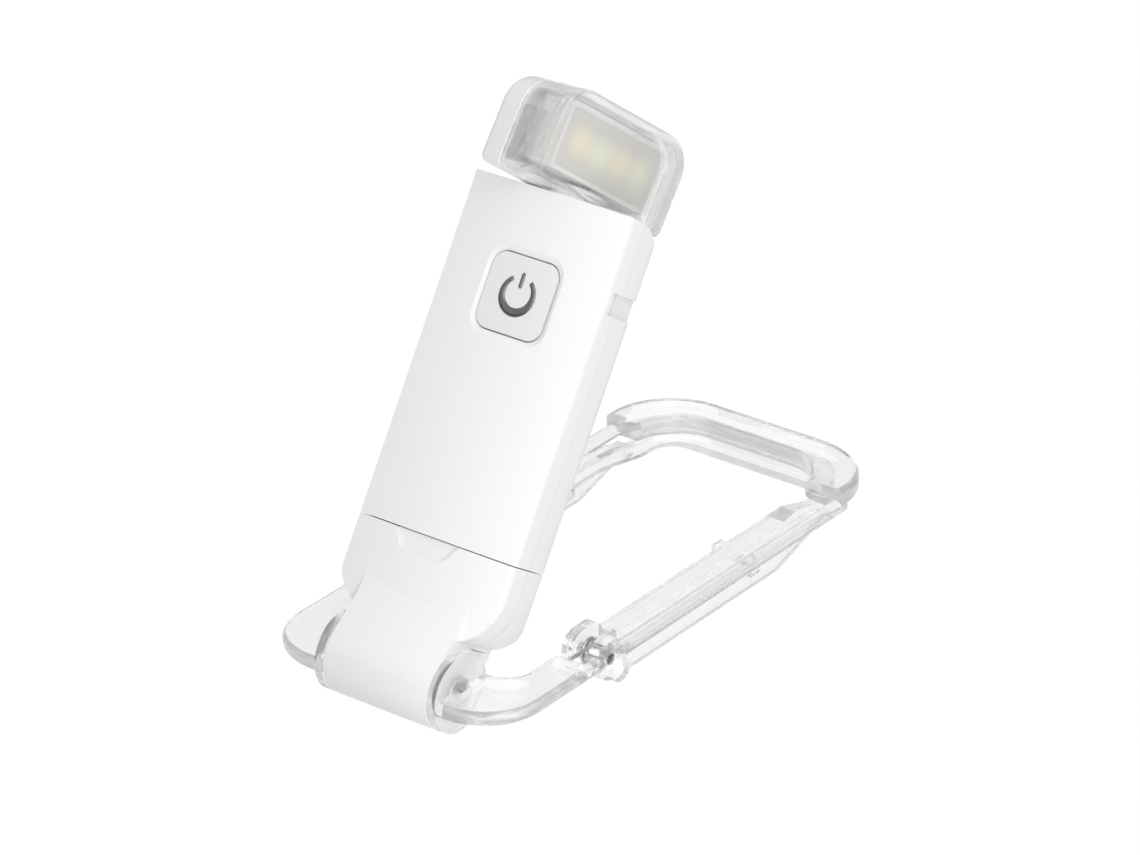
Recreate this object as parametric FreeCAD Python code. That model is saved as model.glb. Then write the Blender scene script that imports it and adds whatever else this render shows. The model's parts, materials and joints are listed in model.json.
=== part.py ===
"""Clip on reading lamp: a plug-in stick lamp with a swivel head, hinged in a sprung clear clip.

Millimetres, +Z up, +X to the lamp's right, +Y towards the clip's far bar.
The origin is the centre of the lamp's outline on the table that the clip lies on.

Two local frames share the hinge axis of the lamp's foot as their origin:
the clip frame is x, v (towards the far bar), n (up), parallel to the world;
the stick frame is x, y (to the stick's back), z (along the stick), leaning back on the hinge.
"""
import FreeCAD, Part
import math
import os

Vector = FreeCAD.Vector

# ---- stick: overall sizes ----
stick_width = 28.0
stick_depth = 9.7
front_reach = 2.84            # front face ahead of the hinge axis
crown_radius = 200.0          # gentle crown of the front face
cap_foot_rise = 0.56          # underside of the cap's shoulders above the hinge barrel
cap_top = 19.4
body_top = 71.4               # front edge of the body's top, which falls towards the back
head_height = 14.4
stick_lean = 31.86            # degrees back from upright
head_lean = 5.2               # degrees that the head's swivel axis leans back from the stick
head_turn = 78.0              # degrees that the head is turned to the lamp's right

# ---- stick: walls, edges and seams ----
wall = 1.2
seam = 0.12                   # open line between two shells of one casing
front_shell_depth = 4.45
front_edge = 1.5              # corner radius of the casing's front edges
back_edge = 2.0
body_back_top_radius = 6.0    # rounding where the back meets the top
shoulder_radius = 7.0
part_gap = 0.15               # between the cap and the body
swivel_gap = 0.3              # between the body and the head
running = 0.05                # radial clearance of a pin in its hole
side_notch_low = 57.2
side_notch_high = 60.5
side_notch_depth = 1.0
side_notch_front = -0.75      # where the notch starts, measured to the back of the hinge axis
thumb_recess_width = 11.4
thumb_recess_height = 2.9
thumb_recess_depth = 0.6
thumb_recess_offset = -1.2

# ---- hinge at the foot ----
barrel_radius = 6.04
barrel_half_length = 9.2
flank_rise = 3.0              # where the cap's front starts to slope down to the barrel
flank_blend = 18.0            # hollow rounding between the front and that slope
hinge_side_gap = 0.25
hinge_pin_radius = 1.5
hinge_pin_inner_end = 6.0
hinge_pin_head_radius = 2.3
hinge_pin_head = 0.4

# ---- button ----
button_size = 11.4
button_corner = 2.2
button_height = 55.8
button_gap = 0.2
button_sunk = 0.2             # button face below the crown of the casing
button_travel = 0.5
button_thickness = 1.2
button_flange = 0.6           # lip that keeps the button in its window
button_flange_thickness = 0.4
bezel_slope_width = 0.9
bezel_slope_depth = 0.45
symbol_radius = 3.1
symbol_inner_radius = 2.15
symbol_inner_shift = 0.36
symbol_half_opening = 33.0    # degrees each side of the top
symbol_bar_width = 0.62
symbol_bar_low = 1.1
symbol_bar_high = 3.45
symbol_depth = 0.3

# ---- inside the body ----
board_thickness = 1.0
board_side_gap = 0.3          # board edge to the backing of the side notches
board_front = 1.5
board_low = 24.0
board_high = 66.6
switch_size = 5.0
switch_height = 1.5
switch_stem_radius = 1.2
switch_stem_height = 0.15
plunger_radius = 1.1
plunger_gap = 0.1             # left between plunger and switch with the button pressed
cell_width = 20.0
cell_low = 30.0
cell_high = 60.0
cell_edge = 0.8
cell_gap = 0.15               # round the cell's front and back

# ---- plug ----
plug_width = 12.0
plug_thickness = 4.5
plug_length = 12.0
plug_wall = 0.3
tongue_width = 10.9
tongue_thickness = 1.8
contact_width = 1.0
contact_pitch = 2.2
contact_thickness = 0.2
plug_clearance = 0.15
liner_wall = 1.1

# ---- head ----
head_depth = 12.5
head_top_radius = 5.2
head_bottom_radius = 1.2
white_shell_depth = 4.3
cover_wall = 1.0
cover_front = 2.3             # thick clear face in front of the window
window_side_margin = 3.6      # window's edge to the head's side
window_height = 8.6
window_centre = 7.2           # above the head's bottom
window_thickness = 1.0
grid_cells = 3
grid_rib = 0.6
grid_gap = 0.3
grid_reach = 3.1              # depth of the ladder ahead of the white shell
grid_low = 1.3                # above the head's bottom
grid_high = 9.5
led_board_height = 9.2
led_board_front = 0.9         # ahead of the swivel axis
led_board_thickness = 0.8
led_pitch = 4.3
led_width = 2.8
led_height = 3.2
led_thickness = 0.7
stem_radius = 3.0
stem_bore = 1.9
stem_below = 3.0              # stem length under the body's top face
stem_flange_radius = 3.7
stem_flange = 0.4
neck_ring_wall = 1.3
neck_ring_depth = 1.9
stem_ring_thickness = 0.6
stem_ring_reach = 1.0         # ring's rim past the stem
stem_ring_gap = 0.15          # between the ring, the neck collar above it and the casing
lead_radius = 0.38
lead_spacing = 1.1
lead_rise = 4.0               # solder pads above the head's bottom

# ---- clear clip frame ----
clip_half_width = 22.0
clip_reach = 92.8             # hinge axis to the far bar's outer edge
bar_low = -1.35               # underside of the near bands and arms, from the hinge axis
bar_high = 0.95
bar_edge = 1.05
arm_width = 2.2
near_band_width = 6.7
near_outer_radius = 10.0
near_inner_radius = 4.0
far_low = -0.4                # the far bar and its corners stand above the arms
far_high = 3.0
far_edge = 1.2
far_bar_width = 6.3
far_outer_radius = 12.0
far_corner_width = 6.8
disc_thickness = 1.35
knuckle_start = 16.6          # where the near band makes room for the jaw's knuckle
far_corner_length = 13.0      # far corner's run along the clip
pivot_reach = 21.0            # hinge axis to the jaw's pivot
pivot_pin_radius = 0.9
boss_radius = 3.2

# ---- sprung jaw ----
jaw_gap = 0.3
jaw_inner = 15.3
jaw_knuckle_width = 1.7
jaw_far_setback = 6.2         # jaw's far bar inside the clip's far edge
jaw_far_width = 3.6
jaw_far_thickness = 2.3
jaw_far_inner_radius = 4.0
jaw_far_outer_radius = 8.0
jaw_shoulder = 24.8           # where the jaw's arm takes its full width
jaw_taper = 17.8              # length over which the jaw's arm narrows to pass under the far corner
jaw_tip_width = 2.1
flange_inner = 17.6
flange_thickness = 1.6
flange_start = 28.0
flange_setback = 12.8         # flange's foot ends short of the far corner
tab_length = 2.1
tab_low = -1.2
tab_high = 0.4
tab_inner = 13.35
lug_outer = 20.8
lug_height = 1.3

# ---- jaw springs ----
spring_wire = 0.3
spring_radius = 1.9
spring_turns = 2.5
spring_leg = 6.2
spring_tail = 6.2
spring_side_gap = 0.25

# ---- derived places ----
half_width = stick_width / 2
window_width = stick_width - 2 * window_side_margin
front = -front_reach
back = front + stick_depth
split = front + front_shell_depth
mid_depth = (front + back) / 2
body_bottom = cap_top + part_gap
cap_bottom = barrel_radius + cap_foot_rise
neck_seat = body_top - (mid_depth - front) * math.tan(math.radians(head_lean))
head_bottom = neck_seat + swivel_gap
head_top = head_bottom + head_height
plug_end = cap_top - plug_length
hinge_y = -(clip_reach - barrel_radius) / 2
hinge_z = barrel_radius
disc_inner = barrel_half_length + hinge_side_gap
disc_outer = disc_inner + disc_thickness
arm_inner = clip_half_width - arm_width
corner_start = clip_reach - far_corner_length
jaw_far_inner = clip_reach - jaw_far_setback
jaw_taper_start = corner_start - jaw_taper
flange_end = corner_start - flange_setback
tab_reach = (side_notch_low + side_notch_high) / 2
jaw_outer = arm_inner - jaw_gap
jaw_knuckle_outer = jaw_inner + jaw_knuckle_width
jaw_far_top = far_low - jaw_gap
jaw_far_low = jaw_far_top - jaw_far_thickness
jaw_far_outer = jaw_far_inner + jaw_far_width
big = 300.0


# ---- plain shapes ----
def box(x0, x1, y0, y1, z0, z1):
    return Part.makeBox(x1 - x0, y1 - y0, z1 - z0, Vector(x0, y0, z0))


def rod(radius, start, end):
    """Round bar from one point to another."""
    start = Vector(*start)
    run = Vector(*end) - start
    return Part.makeCylinder(radius, run.Length, start, run)


def outline(points, place):
    """Closed wire through (a, b, corner radius) points, laid in space by place(a, b)."""
    corners = []
    count = len(points)
    for i, (a, b, radius) in enumerate(points):
        here = Vector(a, b, 0)
        to_last = (Vector(*points[i - 1][:2], 0) - here).normalize()
        to_next = (Vector(*points[(i + 1) % count][:2], 0) - here).normalize()
        if radius == 0:
            corners.append((here, None, here))
            continue
        half = to_last.getAngle(to_next) / 2
        reach = radius / math.tan(half)
        inward = (to_last + to_next).normalize() * (radius / math.sin(half) - radius)
        corners.append((here + to_last * reach, here + inward, here + to_next * reach))
    edges = []
    for i, (start, middle, end) in enumerate(corners):
        last_end = corners[i - 1][2]
        if (start - last_end).Length > 1e-6:
            edges.append(Part.LineSegment(place(last_end), place(start)).toShape())
        if middle is not None:
            edges.append(Part.Arc(place(start), place(middle), place(end)).toShape())
    return Part.Wire(Part.__sortEdges__(edges))


def prism_x(points, x0, x1):
    """Outline in (y, z), carried along x."""
    wire = outline(points, lambda p: Vector(x0, p.x, p.y))
    return Part.Face(wire).extrude(Vector(x1 - x0, 0, 0))


def prism_y(points, y0, y1):
    """Outline in (x, z), carried along y."""
    wire = outline(points, lambda p: Vector(p.x, y0, p.y))
    return Part.Face(wire).extrude(Vector(0, y1 - y0, 0))


def prism_z(points, z0, z1):
    """Outline in (x, y), carried along z."""
    wire = outline(points, lambda p: Vector(p.x, p.y, z0))
    return Part.Face(wire).extrude(Vector(0, 0, z1 - z0))


def rounded(x0, x1, z0, z1, radius):
    """Rectangle points with one corner radius."""
    return [(x0, z0, radius), (x1, z0, radius), (x1, z1, radius), (x0, z1, radius)]


def mirrored(shape):
    return shape.mirror(Vector(0, 0, 0), Vector(1, 0, 0))


def both_sides(shape):
    """The piece and its mirror image, as separate solids in one group."""
    return Part.makeCompound([shape, mirrored(shape)])


def soften(shape, radius, keep):
    """Round the edges that keep(edge) picks."""
    return shape.makeFillet(radius, [e for e in shape.Edges if keep(e)])


# ---- placing ----
def on_clip(shape):
    shape.translate(Vector(0, hinge_y, hinge_z))
    return shape


def on_stick(shape):
    shape.rotate(Vector(0, 0, 0), Vector(1, 0, 0), -stick_lean)
    return on_clip(shape)


def on_head(shape):
    """Head pieces are drawn facing the stick's front, about the swivel axis."""
    shape.rotate(Vector(0, 0, 0), Vector(0, 0, 1), head_turn)
    return on_stick(on_neck(shape))


def on_neck(shape):
    """From a frame about the upright swivel axis to the stick's frame, leaning back at the neck."""
    shape.rotate(Vector(0, 0, neck_seat), Vector(1, 0, 0), -head_lean)
    shape.translate(Vector(0, mid_depth, 0))
    return shape


# ---- casing of the stick ----
def casing(inset, z0, z1, back_top=0.0):
    """Length of the stick's section, every wall moved in by inset."""
    side = half_width - inset
    face = front + inset
    rear = back - inset
    shape = prism_z(
        [(-side, face, front_edge), (side, face, front_edge), (side, rear, back_edge), (-side, rear, back_edge)],
        z0, z1)
    crown = crown_radius - inset
    shape = shape.common(Part.makeCylinder(crown, z1 - z0, Vector(0, front + crown_radius, z0)))
    if back_top:
        fall = (rear - face) * math.tan(math.radians(head_lean))
        side_view = [(face, z0, 0), (rear, z0, 0), (rear, z1 - fall, back_top - inset), (face, z1, 0)]
        shape = shape.common(prism_x(side_view, -side, side))
    return shape


def front_half(shape):
    return shape.common(box(-big, big, -big, split - seam / 2, -big, big))


def rear_half(shape):
    return shape.common(box(-big, big, split + seam / 2, big, -big, big))


def body_hollow():
    """Whole body casing with its hollow, plug slot and neck hole."""
    shell = casing(0, body_bottom, body_top, body_back_top_radius)
    shell = shell.cut(casing(wall, body_bottom + wall, body_top - wall, body_back_top_radius))
    slot = box(-plug_width / 2 - running, plug_width / 2 + running,
               mid_depth - plug_thickness / 2 - running, mid_depth + plug_thickness / 2 + running,
               body_bottom - 1, body_bottom + wall + 1)
    return shell.cut(slot).cut(neck_hole()).cut(side_notches())


def neck_hole():
    """Seat of the neck collar through the casing's top, and under it room for the stem's ring."""
    seat = rod(neck_radius() + running, (0, 0, neck_seat - neck_ring_depth - running), (0, 0, neck_seat + 2))
    low = stem_ring_top() - stem_ring_thickness - stem_ring_gap
    room = rod(stem_radius + stem_ring_reach + stem_ring_gap, (0, 0, low), (0, 0, neck_seat))
    return on_neck(seat.fuse(room))


def stem_ring_top():
    return neck_seat - neck_ring_depth - stem_ring_gap


def neck_radius():
    return stem_radius + running + neck_ring_wall


def side_notches():
    """Cut in both sides where the jaw's tabs snap in with the stick folded flat."""
    notch = box(half_width - side_notch_depth, half_width + 1, side_notch_front, back + 1,
                side_notch_low, side_notch_high)
    return notch.fuse(mirrored(notch))


def front_shell():
    """Front casing with the button's window and its sloped border."""
    shell = front_half(body_hollow())
    window = button_size / 2 + button_gap
    low, high = button_height - window, button_height + window
    hole = prism_y(rounded(-window, window, low, high, button_corner + button_gap), front - 1, split)
    outer = window + bezel_slope_width
    wide = outline(rounded(-outer, outer, button_height - outer, button_height + outer,
                           button_corner + bezel_slope_width), lambda p: Vector(p.x, front, p.y))
    narrow = outline(rounded(-window, window, low, high, button_corner),
                     lambda p: Vector(p.x, front + bezel_slope_depth, p.y))
    slope = Part.makeLoft([wide, narrow], True, True)
    backing = front_half(notch_backing())
    backing = backing.common(box(-big, big, side_notch_front - wall, big, -big, big))
    return shell.fuse(backing).cut(hole).cut(slope).removeSplitter()


def notch_backing():
    """Two thick patches of side wall, with the side notches cut into them."""
    low, high = side_notch_low - wall, side_notch_high + wall
    reach = half_width - side_notch_depth - wall
    between = box(-reach, reach, -big, big, low - 1, high + 1)
    return casing(0, low, high).cut(between).cut(side_notches())


def rear_shell():
    shell = rear_half(body_hollow())
    return shell.fuse(rear_half(notch_backing())).removeSplitter()


def neck_ring():
    """Collar in the body's top that the head's stem turns in."""
    low = neck_seat - neck_ring_depth
    ring = rod(neck_radius(), (0, 0, low), (0, 0, neck_seat))
    return on_neck(ring.cut(rod(stem_radius + running, (0, 0, low - 1), (0, 0, neck_seat + 1))))


# ---- inside the body ----
def main_board():
    board_half_width = half_width - side_notch_depth - wall - board_side_gap
    return box(-board_half_width, board_half_width, board_front, board_front + board_thickness,
               board_low, board_high)


def tact_switch():
    half = switch_size / 2
    base = box(-half, half, board_front - switch_height, board_front, button_height - half, button_height + half)
    stem_foot = board_front - switch_height
    stem = rod(switch_stem_radius, (0, stem_foot, button_height), (0, stem_foot - switch_stem_height, button_height))
    return base.fuse(stem)


def battery_cell():
    low = board_front + board_thickness + cell_gap
    high = back - wall - cell_gap
    half = cell_width / 2
    pouch = box(-half, half, low, high, cell_low, cell_high)
    edge = min(cell_edge, 0.4 * (high - low))
    return soften(pouch, edge, lambda e: e.BoundBox.ZLength > cell_high - cell_low - 1)


# ---- button ----
def button_face():
    return front + button_sunk


def power_mark(y0, y1):
    """Open ring that thins towards its ends, with an upright bar."""
    middle = (0, button_height)
    outer = rod(symbol_radius, (0, y0, middle[1]), (0, y1, middle[1]))
    lift = middle[1] + symbol_inner_shift
    inner = rod(symbol_inner_radius, (0, y0 - 1, lift), (0, y1 + 1, lift))
    reach = 2 * symbol_radius
    angle = math.radians(symbol_half_opening)
    side = reach * math.tan(angle)
    wedge = prism_y([(0, middle[1], 0), (side, middle[1] + reach, 0), (-side, middle[1] + reach, 0)], y0 - 1, y1 + 1)
    half = symbol_bar_width / 2
    bar = prism_y(rounded(-half, half, middle[1] + symbol_bar_low, middle[1] + symbol_bar_high, half * 0.98), y0, y1)
    return outer.cut(inner).cut(wedge), bar


def button_cap():
    half = button_size / 2
    low, high = button_height - half, button_height + half
    face = button_face()
    cap = prism_y(rounded(-half, half, low, high, button_corner), face, face + button_thickness)
    lip_front = front + wall + side_play()
    lip_half = half + button_flange
    lip = prism_y(rounded(-lip_half, lip_half, button_height - lip_half, button_height + lip_half, button_corner),
                  lip_front, lip_front + button_flange_thickness)
    tip = board_front - switch_height - switch_stem_height - button_travel - plunger_gap
    plunger = rod(plunger_radius, (0, face + 0.3, button_height), (0, tip, button_height))
    ring, bar = power_mark(face - 1, face + symbol_depth)
    return cap.fuse(lip).fuse(plunger).cut(ring).cut(bar)


def side_play():
    """The crowned front wall's inner face is nearest at the window's edge."""
    reach = button_size / 2 + button_gap + button_flange
    return reach * reach / (2 * crown_radius) + 0.06


def button_symbol():
    face = button_face()
    ring, bar = power_mark(face, face + symbol_depth)
    return Part.makeCompound([ring, bar])


# ---- plug ----
def usb_shell():
    half = plug_width / 2
    low, high = mid_depth - plug_thickness / 2, mid_depth + plug_thickness / 2
    shell = box(-half, half, low, high, plug_end, board_low)
    room = box(-half + plug_wall, half - plug_wall, low + plug_wall, high - plug_wall, plug_end - 1, board_low + 1)
    windows = [box(x - 1.1, x + 1.1, low - 1, high + 1, plug_end + 5.2, plug_end + 7.4) for x in (-2.9, 2.9)]
    return shell.cut(room).cut(windows[0]).cut(windows[1])


def tongue_front():
    return mid_depth + 0.1


def usb_tongue():
    half = tongue_width / 2
    tongue = box(-half, half, tongue_front(), tongue_front() + tongue_thickness, plug_end + 0.3, board_low)
    root = box(-plug_width / 2 + plug_wall, plug_width / 2 - plug_wall,
               mid_depth - plug_thickness / 2 + plug_wall, tongue_front(), body_bottom, board_low)
    return tongue.fuse(root)


def usb_contacts():
    strips = []
    for place in (-1.5, -0.5, 0.5, 1.5):
        x = place * contact_pitch
        strips.append(box(x - contact_width / 2, x + contact_width / 2, tongue_front() - contact_thickness,
                          tongue_front(), plug_end + 0.8, body_bottom))
    return Part.makeCompound(strips)


# ---- cap with the hinge barrel ----
def cap_outer():
    """Cap with rounded shoulders, running down into the hinge barrel."""
    face_view = [(-half_width, cap_bottom, shoulder_radius), (half_width, cap_bottom, shoulder_radius),
                 (half_width, cap_top, 0), (-half_width, cap_top, 0)]
    block = casing(0, cap_bottom, cap_top).common(prism_y(face_view, -big, big))
    return block.fuse(barrel_and_web())


def barrel_and_web():
    """Barrel round the hinge axis, with flanks that run up tangent from it to the cap's two faces."""
    length = barrel_half_length
    barrel = rod(barrel_radius, (-length, 0, 0), (length, 0, 0))
    top = cap_bottom + flank_rise
    crown_drop = barrel_half_length ** 2 / (2 * crown_radius)
    touches = []
    for y in (front + crown_drop, back):
        far = math.hypot(y, top)
        swing = math.acos(barrel_radius / far)
        base = math.atan2(top, y)
        angle = base + swing if y < 0 else base - swing
        touches.append((barrel_radius * math.cos(angle), barrel_radius * math.sin(angle)))
    face = front + crown_drop
    blend_top = top + flank_blend / 4
    flank = [(face, top, flank_blend), (face, blend_top, 0), (back, blend_top, 0), (back, top, 0),
             (*touches[1], 0), (0, 0, 0), (*touches[0], 0)]
    return barrel.fuse(prism_x(flank, -length, length))


def cap_room():
    """Hollow of the cap above the web."""
    side = half_width - wall
    low = cap_bottom + wall
    face_view = [(-side, low, shoulder_radius - wall), (side, low, shoulder_radius - wall),
                 (side, cap_top + 1, 0), (-side, cap_top + 1, 0)]
    return casing(wall, low, cap_top + 1).common(prism_y(face_view, -big, big))


def plug_room():
    half_x = plug_width / 2 + plug_clearance
    half_y = plug_thickness / 2 + plug_clearance
    return box(-half_x, half_x, mid_depth - half_y, mid_depth + half_y, plug_end - hinge_side_gap, cap_top + 1)


def cap_whole():
    cap = cap_outer().cut(cap_room()).cut(plug_room())
    for side in (-1, 1):
        inner = side * (hinge_pin_inner_end - 0.4)
        cap = cap.cut(rod(hinge_pin_radius + running, (inner, 0, 0), (side * (barrel_half_length + 1), 0, 0)))
    return cap


def rear_zone():
    return box(-big, big, split, big, barrel_radius + 0.3, big)


def cap_front():
    """Front of the cap with the hinge barrel and the thumb recess at its rim."""
    shrunk = box(-big, big, split - seam / 2, big, barrel_radius + 0.3 - seam, big)
    shell = cap_whole().cut(shrunk)
    half = thumb_recess_width / 2
    low = cap_top - thumb_recess_height
    x = thumb_recess_offset
    scoop = prism_y([(x - half, cap_top + 1, 0), (x - half, cap_top, 0), (x - half + 1.9, low, 1.4),
                     (x + half - 1.9, low, 1.4), (x + half, cap_top, 0), (x + half, cap_top + 1, 0)],
                    front - 1, front + thumb_recess_depth)
    return shell.cut(scoop)


def cap_rear():
    return cap_whole().common(rear_zone()).common(box(-big, big, split + seam / 2, big, -big, big))


def cap_liner():
    """Sleeve in the cap that grips the plug."""
    room = plug_room()
    half_x = plug_width / 2 + plug_clearance + liner_wall
    block = box(-half_x, half_x, -big, big, cap_bottom + wall, cap_top - 0.4)
    return block.common(cap_room()).cut(room)


# ---- head ----
def head_block(inset, y0, y1):
    """Head outline moved in by inset, between two depths, facing -y."""
    side = half_width - inset
    low, high = head_bottom + inset, head_top - inset
    foot = head_bottom_radius - 0.8 * inset
    points = [(-side, low, foot), (side, low, foot),
              (side, high, head_top_radius - inset), (-side, high, head_top_radius - inset)]
    return prism_y(points, y0, y1)


def head_faces():
    face = -head_depth / 2
    return face, head_depth / 2 - white_shell_depth, head_depth / 2


def stem_hole():
    return rod(stem_radius, (0, 0, head_bottom - 1), (0, 0, head_bottom + wall))


def head_shell():
    """White back of the head."""
    face, joint, rear = head_faces()
    shell = head_block(0, joint + seam / 2, rear)
    shell = soften(shell, 1.2, lambda e: e.BoundBox.YMin > rear - 1e-4)
    room = head_block(wall, joint - 1, rear - wall)
    return shell.cut(room).cut(stem_hole())


def head_cover():
    """Clear front of the head: window face with side walls back to the white shell."""
    face, joint, rear = head_faces()
    cover = head_block(0, face, joint - seam / 2)
    cover = soften(cover, 0.8, lambda e: e.BoundBox.YMax < face + 1e-4)
    room = head_block(cover_wall, face + cover_front, joint + 1)
    return cover.cut(room).cut(stem_hole())


def window_height_middle():
    return head_bottom + window_centre


def window_box(y0, y1, grow, radius):
    half = window_width / 2 + grow
    tall = window_height / 2 + grow
    centre = window_height_middle()
    return prism_y(rounded(-half, half, centre - tall, centre + tall, radius), y0, y1)


def diffuser():
    """Frosted window plate behind the clear front."""
    back_of_front = head_faces()[0] + cover_front
    return window_box(back_of_front + 0.1, back_of_front + 0.1 + window_thickness, 0, 0.8)


def led_tray():
    """White frame that carries the window plate over the LEDs."""
    start = head_faces()[0] + cover_front + 0.1
    end = -led_board_front
    tray = window_box(start, end, 0.7, 1.0)
    tray = tray.cut(window_box(start - 1, start + window_thickness + 0.1, 0.03, 0.8))
    tray = tray.cut(window_box(start - 1, end + 1, -0.6, 0.6))
    return tray.cut(rod(stem_flange_radius + 0.1, (0, 0, head_bottom), (0, 0, stem_top() + 0.1)))


def side_grids():
    """Ladder of clear ribs between the tray and each side wall of the cover."""
    inner = window_width / 2 + 0.8
    outer = half_width - cover_wall - 0.1
    joint = head_faces()[1]
    start = joint - grid_reach
    end = joint - grid_gap
    low, high = head_bottom + grid_low, head_bottom + grid_high
    plate = box(inner, outer, start, end, low, high)
    cell = (high - low) / grid_cells
    half_rib = grid_rib / 2
    for row in range(grid_cells):
        z0 = low + row * cell + half_rib
        plate = plate.cut(box(inner + half_rib, outer + 1, start + grid_rib, end - grid_rib,
                              z0, z0 + cell - grid_rib))
    return both_sides(plate)


def led_board():
    half = window_width / 2 + 0.7
    tall = led_board_height / 2
    centre = window_height_middle()
    return box(-half, half, -led_board_front, -led_board_front + led_board_thickness, centre - tall, centre + tall)


def leds(places):
    """Chips on the board's face, at places counted in pitches from the middle."""
    chips = []
    centre = window_height_middle()
    for place in places:
        x = place * led_pitch
        chips.append(box(x - led_width / 2, x + led_width / 2, -led_board_front - led_thickness,
                         -led_board_front, centre - led_height / 2, centre + led_height / 2))
    return Part.makeCompound(chips)


def stem_top():
    return head_bottom + wall + stem_flange


def swivel_stem():
    """Hollow stem that joins the head to the body, drawn about the swivel axis."""
    low = neck_seat - stem_below
    stem = rod(stem_radius, (0, 0, low), (0, 0, stem_top()))
    collar = rod(stem_flange_radius, (0, 0, head_bottom + wall), (0, 0, stem_top()))
    return stem.fuse(collar).cut(rod(stem_bore, (0, 0, low - 1), (0, 0, stem_top() + 1)))


def stem_ring():
    """Ring sprung onto the stem's lower end, under the neck collar."""
    high = stem_ring_top()
    low = high - stem_ring_thickness
    ring = rod(stem_radius + stem_ring_reach, (0, 0, low), (0, 0, high))
    return ring.cut(rod(stem_radius, (0, 0, low - 1), (0, 0, high + 1)))


def led_lead(side):
    """Insulated wire up the stem to a pad on the back of the LED board."""
    x = side * lead_spacing / 2
    bend = 3 * lead_radius
    low = neck_seat - stem_below - 0.6
    top = head_bottom + lead_rise
    pad = -led_board_front + led_board_thickness
    y = pad + bend
    start, rise, end = Vector(x, y, low), Vector(x, y, top - bend), Vector(x, pad, top)
    swing = bend * math.sin(math.pi / 4)
    middle = Vector(x, pad + swing, top - bend + swing)
    path = Part.Wire([Part.LineSegment(start, rise).toShape(), Part.Arc(rise, middle, end).toShape()])
    section = Part.Wire(Part.makeCircle(lead_radius, start, Vector(0, 0, 1)))
    return path.makePipeShell([section], True, False)


# ---- clear clip frame ----
def near_plan(side):
    """Plan of one near band and the slim arm that runs on from it."""
    w = clip_half_width
    band_inner = w - near_band_width
    end = corner_start + 1.5
    points = [(disc_inner, barrel_radius, 0), (disc_inner, -barrel_radius, 0),
              (w, -barrel_radius, near_outer_radius), (w, end, 0), (arm_inner, end, 0),
              (arm_inner, knuckle_start, 0.5), (band_inner, knuckle_start, 1.0),
              (band_inner, barrel_radius, near_inner_radius)]
    return [(side * x, v, r) for x, v, r in points]


def far_plan():
    """Plan of the far bar with its two rounded corners."""
    w = clip_half_width
    bar = clip_reach - far_bar_width
    end = w - far_corner_width
    half = [(end, corner_start, 0), (end - 0.6, corner_start + 2.4, 4.0), (end - 4.4, bar, 6.0)]
    outer = [(-w, corner_start, 0), (-w, clip_reach, far_outer_radius), (w, clip_reach, far_outer_radius),
             (w, corner_start, 0)]
    return outer + half + [(-x, v, r) for x, v, r in reversed(half)]


def pivot_boss(x0, x1):
    """Rounded lump round the jaw's pivot, hanging a little behind and below it."""
    upper = rod(boss_radius, (x0, pivot_reach, 0), (x1, pivot_reach, 0))
    drop = rod(2.2, (x0, pivot_reach + 2.4, -2.4), (x1, pivot_reach + 2.4, -2.4))
    bridge = prism_x([(pivot_reach - 2.3, -2.2, 0), (pivot_reach, -3.0, 0), (pivot_reach + 2.4, -4.6, 0),
                      (pivot_reach + 4.6, -2.4, 0), (pivot_reach + 3.1, 0.6, 0), (pivot_reach, 2.0, 0)], x0, x1)
    return upper.fuse(drop).fuse(bridge)


def is_long_edge(edge):
    """Edges of a flat bar's top and bottom that run round its outline, not across its cut ends."""
    bounds = edge.BoundBox
    level = bounds.ZLength < 1e-6
    across_far_end = abs(bounds.YMin - bounds.YMax) < 1e-6 and bounds.YMin > corner_start - 1 and (
        bounds.XLength < far_corner_width + 0.1)
    at_disc = bounds.XLength < 1e-6 and abs(abs(bounds.XMin) - disc_inner) < 1e-6
    return level and not across_far_end and not at_disc


def clip_frame():
    """One clear moulding: hinge discs, near bands, slim arms, thick far corners and the far bar."""
    shape = prism_z(far_plan(), far_low, far_high)
    shape = soften(shape, far_edge, is_long_edge)
    for side in (-1, 1):
        arm = soften(prism_z(near_plan(side), bar_low, bar_high), bar_edge, is_long_edge)
        shape = shape.fuse(arm)
        disc = rod(barrel_radius, (side * disc_inner, 0, 0), (side * disc_outer, 0, 0))
        boss = pivot_boss(min(side * arm_inner, side * clip_half_width), max(side * arm_inner, side * clip_half_width))
        shape = shape.fuse(disc).fuse(boss)
    for side in (-1, 1):
        shape = shape.cut(rod(hinge_pin_radius, (side * (disc_inner - 1), 0, 0), (side * (disc_outer + 1), 0, 0)))
        head_start = disc_outer - hinge_pin_head - 0.2
        shape = shape.cut(rod(hinge_pin_head_radius + 0.1, (side * head_start, 0, 0),
                              (side * disc_outer, 0, 0)))
        shape = shape.cut(rod(pivot_pin_radius, (side * (arm_inner - 1), pivot_reach, 0),
                              (side * (clip_half_width - 0.6), pivot_reach, 0)))
    return shape.removeSplitter()


def hinge_pins():
    head_start = disc_outer - hinge_pin_head - 0.2
    pin = rod(hinge_pin_radius, (hinge_pin_inner_end, 0, 0), (head_start, 0, 0))
    head = rod(hinge_pin_head_radius, (head_start, 0, 0), (head_start + hinge_pin_head, 0, 0))
    return both_sides(pin.fuse(head))


def pivot_pins():
    pin = rod(pivot_pin_radius, (jaw_inner + 0.2, pivot_reach, 0), (clip_half_width - 0.6, pivot_reach, 0))
    return both_sides(pin)


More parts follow.
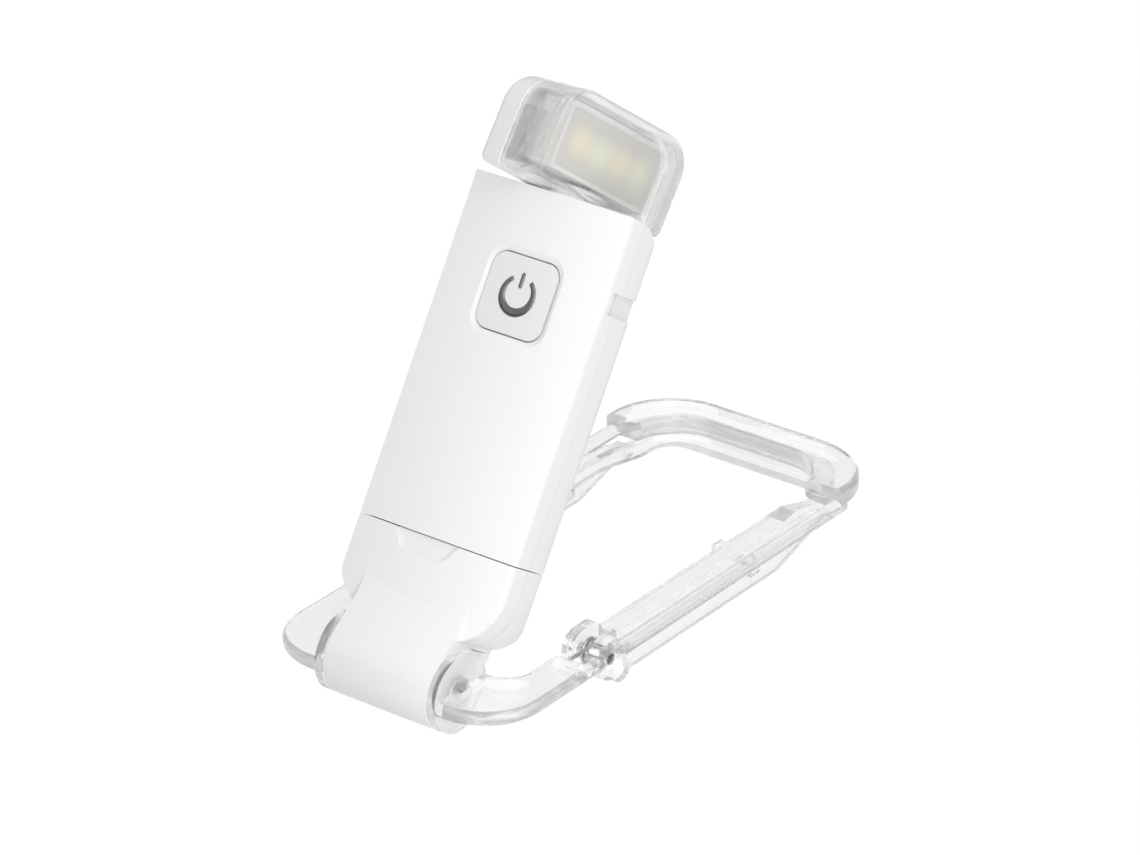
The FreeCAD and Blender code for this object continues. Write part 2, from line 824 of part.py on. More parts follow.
# ---- sprung jaw ----
def jaw_plan():
    near = pivot_reach - boss_radius - 0.2
    tip = jaw_inner + jaw_tip_width
    half = [(jaw_inner, near, 0), (jaw_knuckle_outer, near, 0), (jaw_knuckle_outer, jaw_shoulder, 0.4),
            (jaw_outer, jaw_shoulder, 0.8), (jaw_outer, jaw_taper_start, 20.0),
            (tip, corner_start - 2.0, 8.0), (tip, jaw_far_outer, jaw_far_outer_radius)]
    other = [(-x, v, r) for x, v, r in reversed(half)]
    inner = [(-jaw_inner, jaw_far_inner, jaw_far_inner_radius), (jaw_inner, jaw_far_inner, jaw_far_inner_radius)]
    return half + other + inner


def jaw_side():
    near = pivot_reach - boss_radius
    dip = corner_start - jaw_gap
    return [(near, -boss_radius, 2.9), (near, boss_radius, 2.9), (pivot_reach + 3.0, boss_radius, 1.5),
            (pivot_reach + 5.6, bar_high, 1.5), (corner_start - 6.5, bar_high, 5.0), (dip, jaw_far_top, 1.2),
            (jaw_far_outer, jaw_far_top, 0), (jaw_far_outer, jaw_far_low, 0), (corner_start + 0.5, jaw_far_low, 3.0),
            (corner_start - 9.0, bar_low, 3.0), (jaw_shoulder - 0.2, bar_low, 0.4),
            (jaw_shoulder - 0.6, -4.6, 1.6), (pivot_reach - 1.0, -4.6, 2.0)]


def jaw_flange():
    """Upright web under the outer edge of the jaw's right arm, down to the table."""
    outer = flange_inner + flange_thickness
    foot = -barrel_radius
    points = [(flange_start, -0.2, 0), (flange_start, foot, 1.0), (flange_end, foot, 4.0),
              (corner_start - 0.6, jaw_far_low + 0.6, 0.6), (corner_start - 0.6, jaw_far_top - 0.2, 0.5),
              (corner_start - 8.0, -0.2, 2.0)]
    return prism_x(points, flange_inner, outer)


def jaw_tabs():
    """Snap tab inside the right arm, and the small lug that stands out below the frame's arm."""
    low, high = tab_reach - tab_length / 2, tab_reach + tab_length / 2
    tab = prism_y(rounded(tab_inner, jaw_inner + 1, tab_low, tab_high, 0.3), low, high)
    top = bar_low - jaw_gap
    lug = prism_y(rounded(flange_inner + 0.5, lug_outer, top - lug_height, top, 0.3), low, high)
    return tab.fuse(lug)


def clip_jaw():
    """Clear lower half of the clip, hinged under the frame's arms."""
    body = prism_z(jaw_plan(), -barrel_radius - 2, boss_radius + 2)
    body = body.common(prism_x(jaw_side(), -clip_half_width, clip_half_width))
    for piece in (jaw_flange(), jaw_tabs()):
        body = body.fuse(piece).fuse(mirrored(piece))
    for side in (-1, 1):
        body = body.cut(rod(pivot_pin_radius + running, (side * (jaw_inner - 1), pivot_reach, 0),
                            (side * (jaw_knuckle_outer + 1), pivot_reach, 0)))
    return body.removeSplitter()


# ---- jaw springs ----
def jaw_spring():
    """Torsion spring round the right pivot pin: coil, leg under the jaw's arm, tail to the near band."""
    start = jaw_knuckle_outer + spring_side_gap + spring_wire
    room = arm_inner - jaw_knuckle_outer - 2 * (spring_side_gap + spring_wire)
    pitch = room / spring_turns
    helix = Part.makeHelix(pitch, room, spring_radius)
    begin = helix.Edges[0].valueAt(helix.Edges[0].FirstParameter)
    section = Part.Wire(Part.makeCircle(spring_wire, begin, Vector(0, 1, 0)))
    coil = Part.Wire(helix.Edges).makePipeShell([section], True, True)
    coil.rotate(Vector(0, 0, 0), Vector(0, 1, 0), 90)
    coil.translate(Vector(start, pivot_reach, 0))
    return coil, start, room


def spring_right():
    """Torsion spring: coil on the pivot, long leg under the jaw, short tail over the band."""
    coil, start, room = jaw_spring()
    leg = rod(spring_wire, (start, pivot_reach, -spring_radius), (start, pivot_reach + spring_leg, -spring_radius))
    tail_x = start + room
    tail = rod(spring_wire, (tail_x, pivot_reach, spring_radius), (tail_x, pivot_reach - spring_tail, spring_radius))
    return coil.fuse(leg).fuse(tail)


def write(name, shape):
    shape.exportStep("parts/" + name + ".step")


def main():
    os.makedirs("parts", exist_ok=True)
    spring = spring_right()
    on_the_clip = {
        "clip_frame": clip_frame(),
        "hinge_pins": hinge_pins(),
        "pivot_pins": pivot_pins(),
        "clip_jaw": clip_jaw(),
        "spring_right": spring,
        "spring_left": mirrored(spring),
    }
    on_the_stick = {
        "cap_front": cap_front(),
        "cap_rear": cap_rear(),
        "cap_liner": cap_liner(),
        "front_shell": front_shell(),
        "rear_shell": rear_shell(),
        "neck_ring": neck_ring(),
        "main_board": main_board(),
        "tact_switch": tact_switch(),
        "battery_cell": battery_cell(),
        "usb_shell": usb_shell(),
        "usb_tongue": usb_tongue(),
        "usb_contacts": usb_contacts(),
        "button_cap": button_cap(),
        "button_symbol": button_symbol(),
    }
    on_the_head = {
        "head_shell": head_shell(),
        "head_cover": head_cover(),
        "diffuser": diffuser(),
        "led_tray": led_tray(),
        "side_grids": side_grids(),
        "led_board": led_board(),
        "leds_warm": leds((-1.5, 0.5)),
        "leds_cool": leds((-0.5, 1.5)),
        "swivel_stem": swivel_stem(),
        "stem_ring": stem_ring(),
        "lead_red": led_lead(-1),
        "lead_black": led_lead(1),
    }
    for name, shape in on_the_clip.items():
        write(name, on_clip(shape))
    for name, shape in on_the_stick.items():
        write(name, on_stick(shape))
    for name, shape in on_the_head.items():
        write(name, on_head(shape))


main()
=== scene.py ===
"""Clip-on reading lamp: finishes, fine pieces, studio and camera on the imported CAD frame."""
import json
import math

import bpy
import numpy as np
from mathutils import Matrix, Vector


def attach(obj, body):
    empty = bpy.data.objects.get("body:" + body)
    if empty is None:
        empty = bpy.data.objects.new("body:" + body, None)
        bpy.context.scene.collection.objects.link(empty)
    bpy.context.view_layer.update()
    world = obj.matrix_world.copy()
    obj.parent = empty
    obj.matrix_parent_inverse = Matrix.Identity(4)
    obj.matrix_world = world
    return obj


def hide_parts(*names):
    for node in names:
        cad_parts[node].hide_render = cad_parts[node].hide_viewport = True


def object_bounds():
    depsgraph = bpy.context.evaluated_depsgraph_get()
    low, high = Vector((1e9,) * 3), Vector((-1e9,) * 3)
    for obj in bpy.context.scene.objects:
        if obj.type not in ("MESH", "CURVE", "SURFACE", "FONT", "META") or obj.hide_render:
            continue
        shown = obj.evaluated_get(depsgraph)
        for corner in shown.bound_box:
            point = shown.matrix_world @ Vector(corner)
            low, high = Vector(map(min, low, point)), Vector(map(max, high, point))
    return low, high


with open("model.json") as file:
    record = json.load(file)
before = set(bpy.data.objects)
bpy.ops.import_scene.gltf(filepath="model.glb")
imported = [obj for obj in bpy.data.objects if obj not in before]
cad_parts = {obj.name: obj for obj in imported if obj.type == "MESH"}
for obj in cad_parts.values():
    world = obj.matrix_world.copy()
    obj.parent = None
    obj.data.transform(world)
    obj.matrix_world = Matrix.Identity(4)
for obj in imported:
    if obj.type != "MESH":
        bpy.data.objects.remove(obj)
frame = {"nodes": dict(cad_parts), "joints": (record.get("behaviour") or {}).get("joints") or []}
cad_low, cad_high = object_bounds()
NODES = frame["nodes"]
MM = 0.001


# ---- stick and head directions, from the joints ----
JOINTS = {joint["name"]: joint for joint in frame["joints"]}
UP_STICK = np.array(JOINTS["plug_pull"]["axis"], float)
UP_STICK /= np.linalg.norm(UP_STICK)
BACK_STICK = np.array([0.0, UP_STICK[2], -UP_STICK[1]])
HINGE = np.array(JOINTS["stick_tilt"]["pos_m"], float)
SWIVEL = np.array(JOINTS["head_swivel"]["pos_m"], float)
UP_HEAD = np.array(JOINTS["head_swivel"]["axis"], float)
UP_HEAD /= np.linalg.norm(UP_HEAD)
BACK_HEAD = np.array([0.0, UP_HEAD[2], -UP_HEAD[1]])
HEAD_TURN = math.radians(78)
HEAD_RIGHT = math.cos(HEAD_TURN) * np.array([1.0, 0, 0]) + math.sin(HEAD_TURN) * BACK_HEAD


# ---- shader pieces ----
class Shader:
    """A material's or group's nodes, laid out by short calls."""

    def __init__(self, tree):
        self.nodes = tree.nodes
        self.links = tree.links

    def add(self, kind, **settings):
        node = self.nodes.new(kind)
        for key, value in settings.items():
            setattr(node, key, value)
        return node

    def feed(self, socket, value):
        """A link if value is a socket, else a constant."""
        if isinstance(value, bpy.types.NodeSocket):
            self.links.new(value, socket)
        elif value is not None:
            socket.default_value = value

    def math(self, operation, a, b=None):
        node = self.add("ShaderNodeMath", operation=operation)
        self.feed(node.inputs[0], a)
        self.feed(node.inputs[1], b)
        return node.outputs[0]

    def noise(self, where, scale, detail=2.0, roughness=0.5):
        node = self.add("ShaderNodeTexNoise")
        self.feed(node.inputs["Vector"], where)
        self.feed(node.inputs["Scale"], scale)
        self.feed(node.inputs["Detail"], detail)
        self.feed(node.inputs["Roughness"], roughness)
        return node.outputs["Fac"]

    def span(self, value, low, high, to_low=0.0, to_high=1.0):
        """value from low..high to to_low..to_high, held at the ends."""
        node = self.add("ShaderNodeMapRange")
        self.feed(node.inputs["Value"], value)
        for name, number in (("From Min", low), ("From Max", high), ("To Min", to_low), ("To Max", to_high)):
            self.feed(node.inputs[name], number)
        return node.outputs["Result"]

    def mix(self, share, a, b):
        node = self.add("ShaderNodeMix", data_type="RGBA")
        self.feed(node.inputs[0], share)
        self.feed(node.inputs[6], a)
        self.feed(node.inputs[7], b)
        return node.outputs[2]

    def object_place(self):
        return self.add("ShaderNodeTexCoord").outputs["Object"]

    def group(self, tree, **values):
        node = self.add("ShaderNodeGroup", node_tree=tree)
        for name, value in values.items():
            self.feed(node.inputs[name.replace("_", " ")], value)
        return node.outputs


def group_tree(name, inputs, outputs):
    """Empty shader group from (name, value) inputs and (name, kind) outputs.
    Returns the tree, its Shader, and the sockets at its two ends."""
    tree = bpy.data.node_groups.new(name, "ShaderNodeTree")
    for label, value in inputs:
        kind = "NodeSocketColor" if isinstance(value, tuple) else "NodeSocketFloat"
        socket = tree.interface.new_socket(label, in_out="INPUT", socket_type=kind)
        socket.default_value = value
    for label, kind in outputs:
        tree.interface.new_socket(label, in_out="OUTPUT", socket_type=kind)
    shader = Shader(tree)
    return tree, shader, shader.add("NodeGroupInput").outputs, shader.add("NodeGroupOutput").inputs


def moulded_skin():
    """Moulded plastic: fine grain, slow waves of the mould and a faint handling haze."""
    tree, s, given, out = group_tree(
        "moulded_skin",
        [("Color", (0.8, 0.8, 0.8, 1)), ("Deep Color", (0.75, 0.75, 0.75, 1)), ("Grain", 2600.0),
         ("Grain Depth", 0.05), ("Wave Depth", 0.05), ("Gloss Low", 0.3), ("Gloss High", 0.42)],
        [("Color", "NodeSocketColor"), ("Roughness", "NodeSocketFloat"), ("Normal", "NodeSocketVector")])
    where = s.object_place()
    grain = s.noise(where, given["Grain"], 3.0)
    wave = s.noise(where, 55.0, 1.0)
    haze = s.noise(where, 160.0, 4.0, 0.6)
    s.feed(out["Color"], s.mix(s.span(wave, 0.3, 0.7), given["Deep Color"], given["Color"]))
    s.feed(out["Roughness"], s.span(haze, 0.35, 0.7, given["Gloss Low"], given["Gloss High"]))
    fine = s.add("ShaderNodeBump")
    s.feed(fine.inputs["Height"], grain)
    s.feed(fine.inputs["Strength"], given["Grain Depth"])
    fine.inputs["Distance"].default_value = 0.02 * MM
    broad = s.add("ShaderNodeBump")
    s.feed(broad.inputs["Height"], wave)
    s.feed(broad.inputs["Strength"], given["Wave Depth"])
    broad.inputs["Distance"].default_value = 0.2 * MM
    s.feed(broad.inputs["Normal"], fine.outputs[0])
    s.feed(out["Normal"], broad.outputs[0])
    return tree


def soft_spot():
    """Round soft spot in a plane: one at its centre, falling smoothly to zero at its radius."""
    tree, s, given, out = group_tree(
        "soft_spot",
        [("Across", 0.0), ("Up", 0.0), ("Centre Across", 0.0), ("Centre Up", 0.0), ("Radius", 0.002)],
        [("Mask", "NodeSocketFloat")])
    dx = s.math("SUBTRACT", given["Across"], given["Centre Across"])
    dz = s.math("SUBTRACT", given["Up"], given["Centre Up"])
    far = s.math("SQRT", s.math("ADD", s.math("MULTIPLY", dx, dx), s.math("MULTIPLY", dz, dz)))
    share = s.math("DIVIDE", far, given["Radius"])
    node = s.add("ShaderNodeMapRange", interpolation_type="SMOOTHERSTEP")
    s.feed(node.inputs["Value"], share)
    s.feed(node.inputs["To Min"], 1.0)
    s.feed(node.inputs["To Max"], 0.0)
    s.feed(out["Mask"], node.outputs["Result"])
    return tree


def drawn_metal():
    """Drawn or plated metal: scratches along one way, stains and a fine grain."""
    tree, s, given, out = group_tree(
        "drawn_metal",
        [("Color", (0.6, 0.6, 0.6, 1)), ("Stain Color", (0.45, 0.44, 0.43, 1)), ("Scratch Scale", 3000.0),
         ("Scratch Depth", 0.1), ("Gloss Low", 0.2), ("Gloss High", 0.35)],
        [("Color", "NodeSocketColor"), ("Roughness", "NodeSocketFloat"), ("Normal", "NodeSocketVector")])
    where = s.object_place()
    stretch = s.add("ShaderNodeMapping")
    s.feed(stretch.inputs["Vector"], where)
    stretch.inputs["Scale"].default_value = (0.08, 1.0, 1.0)
    scratch = s.noise(stretch.outputs[0], given["Scratch Scale"], 3.0)
    stain = s.noise(where, 380.0, 4.0, 0.6)
    s.feed(out["Color"], s.mix(s.span(stain, 0.45, 0.75), given["Color"], given["Stain Color"]))
    s.feed(out["Roughness"], s.span(scratch, 0.3, 0.7, given["Gloss Low"], given["Gloss High"]))
    bump = s.add("ShaderNodeBump")
    s.feed(bump.inputs["Height"], scratch)
    s.feed(bump.inputs["Strength"], given["Scratch Depth"])
    bump.inputs["Distance"].default_value = 0.02 * MM
    s.feed(out["Normal"], bump.outputs[0])
    return tree


SKIN = moulded_skin()
SPOT = soft_spot()
METAL = drawn_metal()


def new_material(name, **constants):
    """Material with one Principled shader and its plain constants set on the shader's own sockets."""
    material = bpy.data.materials.new(name)
    material.use_nodes = True
    s = Shader(material.node_tree)
    bsdf = s.nodes["Principled BSDF"]
    for key, value in constants.items():
        bsdf.inputs[key.replace("_", " ")].default_value = value
    return material, s, bsdf


def grey(level):
    return (level, level, level, 1.0)


def dress(s, bsdf, outs):
    s.feed(bsdf.inputs["Base Color"], outs["Color"])
    s.feed(bsdf.inputs["Roughness"], outs["Roughness"])
    s.feed(bsdf.inputs["Normal"], outs["Normal"])


def plastic(name, color, deep, gloss=(0.3, 0.42), grain=(2600.0, 0.05), wave=0.05, **constants):
    material, s, bsdf = new_material(name, **constants)
    outs = s.group(SKIN, Color=(*color, 1), Deep_Color=(*deep, 1), Grain=grain[0], Grain_Depth=grain[1],
                   Wave_Depth=wave, Gloss_Low=gloss[0], Gloss_High=gloss[1])
    dress(s, bsdf, outs)
    return material


def metal(name, color, stain, gloss=(0.2, 0.35), scratch=(3000.0, 0.1)):
    material, s, bsdf = new_material(name, Metallic=1.0)
    outs = s.group(METAL, Color=(*color, 1), Stain_Color=(*stain, 1), Scratch_Scale=scratch[0],
                   Scratch_Depth=scratch[1], Gloss_Low=gloss[0], Gloss_High=gloss[1])
    dress(s, bsdf, outs)
    return material


def clear(name, color, deep, straight, gloss=(0.01, 0.05), wave=0.12):
    """Polished clear plastic with slow waves left by the mould. A share of the light passes straight
    through without bending, as through a thin wall, and all of a shadow ray does."""
    material = plastic(name, color, deep, gloss, (1800.0, 0.02), wave, Transmission_Weight=1.0, IOR=1.49)
    s = Shader(material.node_tree)
    thin = s.add("ShaderNodeBsdfTransparent")
    blend = s.add("ShaderNodeMixShader")
    shadow = s.add("ShaderNodeLightPath").outputs["Is Shadow Ray"]
    s.feed(blend.inputs[0], s.math("MAXIMUM", shadow, straight))
    s.feed(blend.inputs[1], s.nodes["Principled BSDF"].outputs[0])
    s.feed(blend.inputs[2], thin.outputs[0])
    s.feed(s.nodes["Material Output"].inputs["Surface"], blend.outputs[0])
    return material


def along(s, where, direction, origin):
    """Distance from origin along direction, of the shaded point."""
    shifted = s.add("ShaderNodeVectorMath", operation="SUBTRACT")
    s.feed(shifted.inputs[0], where)
    shifted.inputs[1].default_value = tuple(origin)
    product = s.add("ShaderNodeVectorMath", operation="DOT_PRODUCT")
    s.feed(product.inputs[0], shifted.outputs[0])
    product.inputs[1].default_value = tuple(direction)
    return product.outputs["Value"]


# Size and strength of the painted glow laid over each LED chip on the frosted plate.
PAINTED_GLOW_RADIUS = 4.0 * MM
PAINTED_GLOW_STRENGTH = 0.8


def frosted_window(warm, cool):
    """Frosted plate with painted light: a soft glow, a little brighter and coloured, painted over each LED
    chip at the chips' own places, standing in for the chips seen through the plate.
    """
    material, s, bsdf = new_material("frosted_window", IOR=1.49)
    where = s.object_place()
    across = along(s, where, HEAD_RIGHT, SWIVEL)
    up = along(s, where, UP_HEAD, SWIVEL)
    outs = s.group(SKIN, Color=(0.53, 0.51, 0.48, 1), Deep_Color=(0.49, 0.47, 0.44, 1), Grain=2200.0,
                   Grain_Depth=0.3, Wave_Depth=0.05, Gloss_Low=0.45, Gloss_High=0.6)
    color = outs["Color"]
    # Painted light: a brighter, coloured soft glow over each chip, standing in for the chips seen through the
    # frosted plate.
    for places, painted_glow_tint in ((warm, (0.74, 0.66, 0.44, 1)), (cool, (0.68, 0.71, 0.52, 1))):
        for place in places:
            mask = s.group(SPOT, Across=across, Up=up, Centre_Across=place[0], Centre_Up=place[1],
                           Radius=PAINTED_GLOW_RADIUS)["Mask"]
            color = s.mix(s.math("MULTIPLY", mask, PAINTED_GLOW_STRENGTH), color, painted_glow_tint)
    dress(s, bsdf, {"Color": color, "Roughness": outs["Roughness"], "Normal": outs["Normal"]})
    return material


def mesh_points(mesh):
    points = np.empty(len(mesh.vertices) * 3)
    mesh.vertices.foreach_get("co", points)
    return points.reshape(-1, 3)


def led_places(node):
    """Middles of a node's two chips across the head and up it, from the swivel's point. The widest gap
    between points parts one chip from the other."""
    points = mesh_points(NODES[node].data) - SWIVEL
    across, up = points @ HEAD_RIGHT, points @ UP_HEAD
    order = np.argsort(across)
    gap = np.argmax(np.diff(across[order]))
    return [(across[part].mean(), up[part].mean()) for part in (order[:gap + 1], order[gap + 1:])]


WHITE = plastic("white_plastic", (0.86, 0.86, 0.865), (0.85, 0.85, 0.855), (0.3, 0.4), (2600.0, 0.06), 0.05)
HEAD_WHITE = plastic("white_head", (0.88, 0.86, 0.865), (0.87, 0.85, 0.855), (0.3, 0.4), (2600.0, 0.06), 0.05)
BUTTON = plastic("button_white", (0.78, 0.78, 0.785), (0.76, 0.76, 0.77), (0.28, 0.36), (2200.0, 0.05), 0.03)
TRAY = plastic("tray_white", (0.64, 0.63, 0.62), (0.6, 0.59, 0.58), (0.4, 0.55), (1800.0, 0.1))
LINER = plastic("liner_grey", (0.55, 0.56, 0.58), (0.48, 0.49, 0.51), (0.4, 0.6), (1500.0, 0.15))
BLACK = plastic("plug_black", (0.035, 0.035, 0.04), (0.025, 0.025, 0.03), (0.35, 0.5), (1800.0, 0.1))
BOARD = plastic("board_green", (0.05, 0.24, 0.12), (0.04, 0.18, 0.09), (0.25, 0.45), (900.0, 0.2))
BOARD_WHITE = plastic("board_white", (0.82, 0.83, 0.81), (0.76, 0.77, 0.75), (0.3, 0.45), (900.0, 0.12))
WARM = plastic("led_warm", (0.95, 0.78, 0.30), (0.90, 0.70, 0.24), (0.2, 0.3), (3500.0, 0.1), Coat_Weight=0.4)
COOL = plastic("led_cool", (0.88, 0.92, 0.55), (0.82, 0.88, 0.48), (0.2, 0.3), (3500.0, 0.1), Coat_Weight=0.4)
RED = plastic("wire_red", (0.50, 0.03, 0.03), (0.40, 0.02, 0.02), (0.35, 0.5), (2400.0, 0.15))
DARK = plastic("wire_black", (0.03, 0.03, 0.03), (0.02, 0.02, 0.02), (0.35, 0.5), (2400.0, 0.15))
CHROME = metal("dark_chrome", (0.22, 0.22, 0.23), (0.16, 0.16, 0.17), (0.12, 0.2), (3000.0, 0.05))
PIN = metal("steel_pin", (0.62, 0.62, 0.62), (0.5, 0.49, 0.48), (0.18, 0.32))
SPRING = metal("spring_wire", (0.55, 0.55, 0.56), (0.42, 0.41, 0.4), (0.2, 0.35))
FOIL = metal("cell_foil", (0.72, 0.73, 0.75), (0.6, 0.61, 0.63), (0.3, 0.5), (900.0, 0.3))
GOLD = metal("contact_gold", (0.85, 0.62, 0.25), (0.7, 0.5, 0.2), (0.15, 0.3))
CLEAR = clear("clear_clip", (0.97, 0.975, 0.98), (0.95, 0.955, 0.96), 0.22)
COVER = clear("clear_cover", (0.97, 0.975, 0.98), (0.955, 0.96, 0.965), 0.45, (0.01, 0.04), 0.08)
WINDOW = frosted_window(led_places("leds_warm"), led_places("leds_cool"))

FINISH = {
    "clip_frame": CLEAR, "clip_jaw": CLEAR, "hinge_pins": PIN, "pivot_pins": PIN,
    "spring_right": SPRING, "spring_left": SPRING, "cap_front": WHITE, "cap_rear": WHITE,
    "cap_liner": LINER, "front_shell": WHITE, "rear_shell": WHITE, "neck_ring": WHITE,
    "main_board": BOARD, "tact_switch": BLACK, "battery_cell": FOIL, "usb_shell": PIN,
    "usb_tongue": BLACK, "usb_contacts": GOLD, "button_cap": BUTTON, "button_symbol": CHROME,
    "head_shell": HEAD_WHITE, "head_cover": COVER, "diffuser": WINDOW, "led_tray": TRAY,
    "side_grids": COVER, "led_board": BOARD_WHITE, "leds_warm": WARM, "leds_cool": COOL,
    "swivel_stem": WHITE, "stem_ring": PIN, "lead_red": RED, "lead_black": DARK,
}
for node, finish in FINISH.items():
    mesh = NODES[node].data
    mesh.materials.clear()
    mesh.materials.append(finish)


# ---- fine pieces ----
def swept_piece(name, sections, finish, body):
    """Smooth closed piece from a grid of points (section, place round it, 3). Neighbouring points join as
    quads, and a fan of triangles to a section's middle closes each end."""
    count, around = sections.shape[:2]
    ring = np.arange(around)
    after = (ring + 1) % around
    start = np.arange(count - 1)[:, None] * around
    sides = np.stack([start + ring, start + after, start + around + after, start + around + ring], axis=-1)
    first, last = count * around, count * around + 1
    top = (count - 1) * around
    faces = sides.reshape(-1, 4).tolist()
    faces += np.stack([after, ring, np.full(around, first)], axis=-1).tolist()
    faces += np.stack([top + ring, top + after, np.full(around, last)], axis=-1).tolist()
    middles = [sections[0].mean(axis=0), sections[-1].mean(axis=0)]
    points = np.concatenate([sections.reshape(-1, 3), middles])
    mesh = bpy.data.meshes.new(name)
    mesh.from_pydata(points.tolist(), [], faces)
    mesh.polygons.foreach_set("use_smooth", np.ones(len(mesh.polygons), bool))
    mesh.materials.append(finish)
    piece = bpy.data.objects.new(name, mesh)
    bpy.context.scene.collection.objects.link(piece)
    outward(mesh)
    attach(piece, body)
    return piece


def outward(mesh):
    """Turns every face out, by the sign of the closed mesh's volume."""
    mesh.calc_loop_triangles()
    corners = np.empty(len(mesh.loop_triangles) * 3, np.int32)
    mesh.loop_triangles.foreach_get("vertices", corners)
    a, b, c = mesh_points(mesh)[corners.reshape(-1, 3)].transpose(1, 0, 2)
    if np.einsum("ij,ij->i", a, np.cross(b, c)).sum() < 0:
        mesh.flip_normals()


def stick_point(x, ahead, along_stick):
    """World place of stick coordinates: x to the right, ahead of the hinge axis, up along the stick."""
    return (HINGE + np.multiply.outer(x, np.array([1.0, 0, 0])) - np.multiply.outer(ahead, BACK_STICK)
            + np.multiply.outer(along_stick, UP_STICK))


MARK_CROWN = 0.16 * MM        # height of the mark over the button's face
MARK_SUNK = 0.15 * MM         # its base under that face
AROUND = np.linspace(0, 2 * np.pi, 25)[:-1]


def rounded_end(share):
    """Quarter-round growth of a width from nearly nothing at share 0 to whole at share 1."""
    return 0.02 + 0.98 * np.sqrt(1 - (1 - share) ** 2)


def crown_profile():
    """Height round a section: a half-ellipse over the face, and a flatter one under it."""
    return np.where(np.sin(AROUND) > 0, MARK_CROWN, MARK_SUNK) * np.sin(AROUND)


def power_ring(middle, face, outer=3.1 * MM, inner=2.15 * MM, shift=0.36 * MM, opening=33.0, steps=97):
    """Open ring between an outer circle and an inner one set a little higher, so it thins to its ends.
    Round the ring by angle p, and round its section by an angle: half a width out or in from the middle
    of the two circles by its cosine, and the crown's height by its sine."""
    p = np.radians(np.linspace(90 + opening, 450 - opening, steps))
    inside = shift * np.sin(p) + np.sqrt(inner ** 2 - (shift * np.cos(p)) ** 2)
    from_end = np.minimum(np.arange(steps), np.arange(steps)[::-1])
    growth = rounded_end(np.clip(from_end / 3.0, 0, 1))
    half = (outer - inside) / 2 * growth
    radius = ((outer + inside) / 2)[:, None] + half[:, None] * np.cos(AROUND)
    rise = growth[:, None] * crown_profile()
    return stick_point(radius * np.cos(p)[:, None], face + rise, middle + radius * np.sin(p)[:, None])


def power_bar(middle, face, half=0.31 * MM, low=1.1 * MM, high=3.45 * MM, steps=41):
    """Upright bar with round ends and the ring's low crown: along it by s from -1 to 1, and round its
    section by an angle, whose cosine gives the width and sine the height."""
    s = np.linspace(-1, 1, steps)
    reach = (high - low) / 2
    growth = rounded_end(np.clip((1 - np.abs(s)) * reach / half, 0, 1))
    x = half * growth[:, None] * np.cos(AROUND)
    rise = growth[:, None] * crown_profile()
    z = middle + (low + high) / 2 + reach * s
    return stick_point(x, face + rise, np.broadcast_to(z[:, None], x.shape))


def power_mark():
    """Chrome mark on the button, from the button's own face and middle."""
    points = mesh_points(NODES["button_cap"].data) - HINGE
    face = (-points @ BACK_STICK).max()
    heights = points @ UP_STICK
    middle = (heights.min() + heights.max()) / 2
    ring = swept_piece("power_ring", power_ring(middle, face), CHROME, "button")
    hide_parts("button_symbol")
    swept_piece("power_bar", power_bar(middle, face), CHROME, "button")


power_mark()


# ---- studio ----
def floor():
    """Flat pale sheet under the lamp: a fine grid whose height is zero."""
    half, steps, drop = 1.6, 8, 0.02 * MM
    line = np.linspace(-half, half, steps + 1)
    x, y = np.meshgrid(line, line, indexing="ij")
    points = np.stack([x, y, np.full_like(x, cad_low[2] - drop)], axis=-1).reshape(-1, 3)
    corner = (np.arange(steps)[:, None] * (steps + 1) + np.arange(steps)[None, :]).reshape(-1)
    faces = np.stack([corner, corner + steps + 1, corner + steps + 2, corner + 1], axis=-1)
    mesh = bpy.data.meshes.new("studio_floor")
    mesh.from_pydata(points.tolist(), [], faces.tolist())
    sheet = bpy.data.objects.new("studio_floor", mesh)
    bpy.context.scene.collection.objects.link(sheet)
    material = bpy.data.materials.new("studio_floor")
    material.use_nodes = True
    s = Shader(material.node_tree)
    bsdf = s.nodes["Principled BSDF"]
    bsdf.inputs["Base Color"].default_value = grey(0.75)
    bsdf.inputs["Roughness"].default_value = 0.9
    glow = s.add("ShaderNodeEmission")
    glow.inputs["Strength"].default_value = 1.05
    path = s.add("ShaderNodeLightPath").outputs
    blend = s.add("ShaderNodeMixShader")
    s.feed(blend.inputs[0], s.span(path["Is Diffuse Ray"], 0.0, 1.0, 0.93, 0.0))
    s.feed(blend.inputs[1], bsdf.outputs[0])
    s.feed(blend.inputs[2], glow.outputs[0])
    s.feed(s.nodes["Material Output"].inputs["Surface"], blend.outputs[0])
    mesh.materials.append(material)


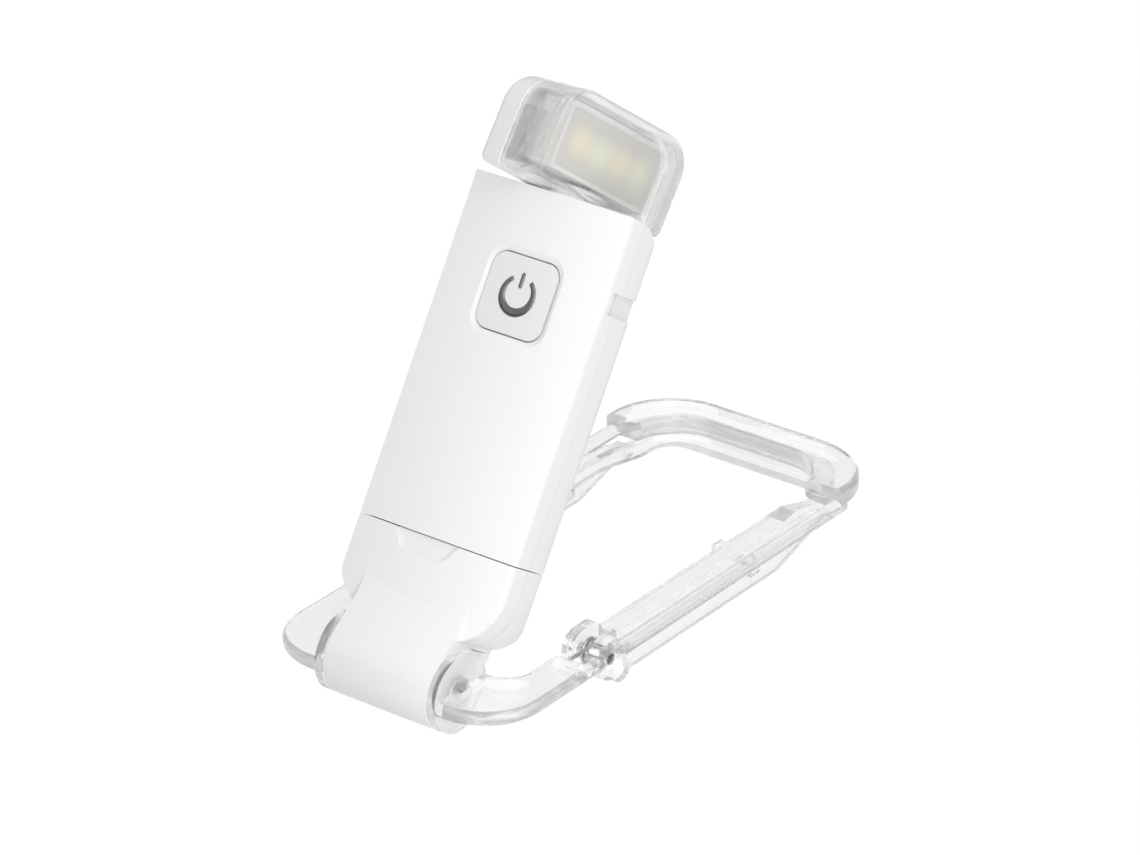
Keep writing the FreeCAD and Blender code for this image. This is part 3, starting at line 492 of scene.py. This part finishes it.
def sky():
    """White tent, darker in a band round the sides, which draws the edges of the clear plastic."""
    world = bpy.data.worlds.new("tent")
    world.use_nodes = True
    bpy.context.scene.world = world
    s = Shader(world.node_tree)
    where = s.add("ShaderNodeTexCoord").outputs["Generated"]
    height = s.add("ShaderNodeSeparateXYZ")
    s.feed(height.inputs[0], where)
    ramp = s.add("ShaderNodeValToRGB")
    s.feed(ramp.inputs[0], s.span(height.outputs["Z"], -0.1, 1.0))
    stops = ramp.color_ramp
    stops.elements[0].position, stops.elements[0].color = 0.0, grey(0.9)
    stops.elements[1].position, stops.elements[1].color = 1.0, grey(1.0)
    for place, level in ((0.12, 0.25), (0.3, 0.3), (0.42, 0.95)):
        stops.elements.new(place).color = grey(level)
    path = s.add("ShaderNodeLightPath").outputs
    color = s.mix(path["Is Camera Ray"], ramp.outputs[0], grey(1.45))
    background = s.nodes["Background"]
    s.feed(background.inputs["Color"], color)
    background.inputs["Strength"].default_value = 0.74


def softbox(name, place, target, size, power):
    lamp = bpy.data.lights.new(name, "AREA")
    lamp.shape = "RECTANGLE"
    lamp.size, lamp.size_y = size
    lamp.energy = power
    box = bpy.data.objects.new(name, lamp)
    bpy.context.scene.collection.objects.link(box)
    box.location = place
    box.rotation_mode = "QUATERNION"
    box.rotation_quaternion = (Vector(target) - Vector(place)).to_track_quat("-Z", "Y")
    return box


STICK_MIDDLE = 45 * MM        # from the hinge along the stick
LAMP_MIDDLE = (0.0, 0.0, 0.035)


def strip_beside_stick(right, ahead, power):
    """Long strip light close to the stick's right front edge, so that the front shades off to the left."""
    centre = HINGE + STICK_MIDDLE * UP_STICK
    place = centre + np.array([right, 0, 0]) - ahead * BACK_STICK
    strip = softbox("strip_right", place, centre, (0.02, 0.02), power)
    out = (Vector(place) - Vector(centre)).normalized()
    long_way = Vector(UP_STICK)
    side = long_way.cross(out)
    strip.rotation_quaternion = Matrix((side, long_way, out)).transposed().to_quaternion()
    strip.data.size_y = 0.3
    strip.visible_camera = False


def camera():
    """Long lens, held a little turned about its own axis."""
    place, aim, roll = Vector((0.41020, -0.56226, 0.37794)), Vector((0.00919, -0.01569, 0.03657)), 0.578
    lens = bpy.data.cameras.new("main_camera")
    lens.lens = 168.2
    lens.sensor_width = 36.0
    lens.clip_start, lens.clip_end = 0.01, 20.0
    view = bpy.data.objects.new("main_camera", lens)
    bpy.context.scene.collection.objects.link(view)
    turn = (aim - place).to_track_quat("-Z", "Y").to_matrix() @ Matrix.Rotation(math.radians(roll), 3, "Z")
    view.matrix_world = Matrix.Translation(place) @ turn.to_4x4()
    bpy.context.scene.camera = view


floor()
sky()
strip_beside_stick(0.05, 0.038, 0.055)
softbox("key_front", (0.15, -0.85, 0.65), LAMP_MIDDLE, (0.7, 0.9), 2.0)
camera()
scene = bpy.context.scene
scene.view_settings.view_transform = "Standard"
scene.view_settings.look = "None"
